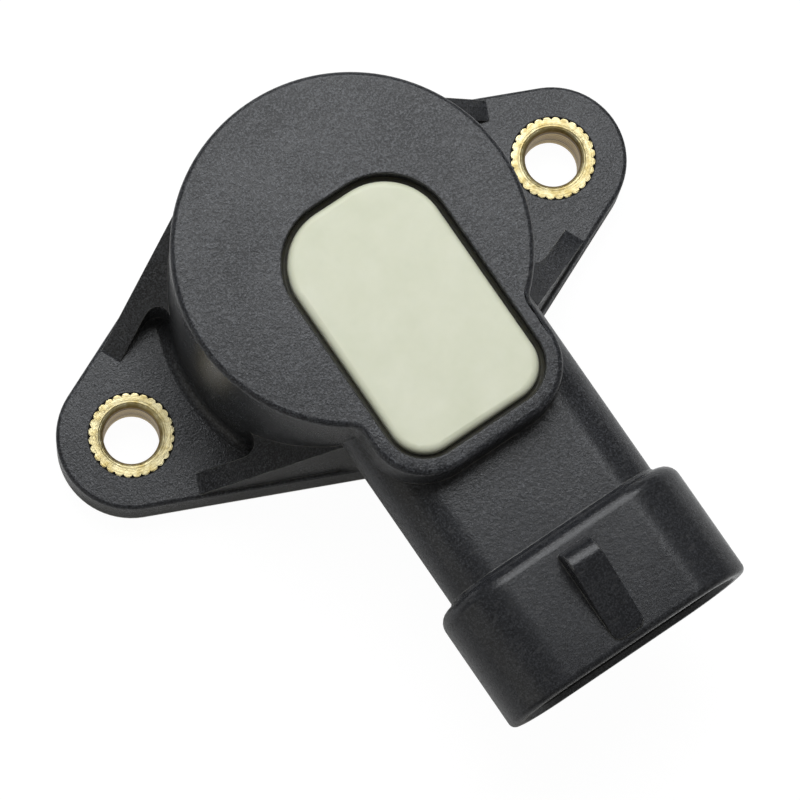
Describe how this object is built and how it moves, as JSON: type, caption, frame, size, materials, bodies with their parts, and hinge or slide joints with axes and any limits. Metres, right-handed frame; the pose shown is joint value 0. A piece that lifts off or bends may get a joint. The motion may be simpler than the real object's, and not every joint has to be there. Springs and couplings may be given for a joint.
{
  "type": "throttle position sensor",
  "caption": "Rotary throttle position sensor: a round housing on an eared flange with brass bushings, a side plug socket, a sprung rotor, a wiper and a resistance track.",
  "frame": {"origin": "on the rotor's axis, in the plane of the mounting face and midway between the two fixing holes", "axes": "+Z is the rotor's axis, away from the engine; +X runs along the line of the two fixing holes; the plug socket opens towards -Y"},
  "size_m": [0.0626, 0.0608, 0.0262],
  "materials": {
    "housing_plastic": "fine matt grain, glass-filled",
    "cover_plastic": "satin, slightly mottled",
    "sealant": "cured sealant, dull",
    "brass": "machined, satin",
    "tinned_metal": "tin-plated strip, satin",
    "board": "fired ceramic, dull",
    "carbon_print": "printed carbon film, smooth",
    "silver_print": "printed silver, dull",
    "rotor_plastic": "natural moulding, satin",
    "spring_bronze": "rolled spring sheet",
    "spring_steel": "drawn wire",
    "washer_steel": "pressed washer",
    "rear_plastic": "matt moulding",
    "seal_rubber": "nitrile rubber, matt"
  },
  "bodies": {
    "housing": {"housing": "housing_plastic", "cover_plate": "cover_plastic", "cover_sealant": "sealant", "bushing_left": "brass", "bushing_right": "brass", "terminal_supply": "tinned_metal", "terminal_signal": "tinned_metal", "terminal_ground": "tinned_metal", "contact_pin_supply": "tinned_metal", "contact_pin_signal": "tinned_metal", "contact_pin_ground": "tinned_metal", "element_board": "board", "resistance_track": "carbon_print", "collector_track": "carbon_print", "lead_supply": "silver_print", "lead_signal": "silver_print", "lead_ground": "silver_print", "return_spring": "spring_steel", "thrust_washer": "washer_steel", "rear_cover": "rear_plastic", "face_seal": "seal_rubber"},
    "rotor": {"rotor": "rotor_plastic", "wiper": "spring_bronze"}
  },
  "joints": [
    {"name": "rotor_turn", "type": "hinge", "parent": "housing", "child": "rotor", "pos_m": [0, 0, 0.01], "axis": [0, 0, 1], "range_deg": [0, 95], "stiffness_Nm_per_rad": 0.002, "springref_deg": -57.3, "deforming": ["return_spring"]}
  ]
}
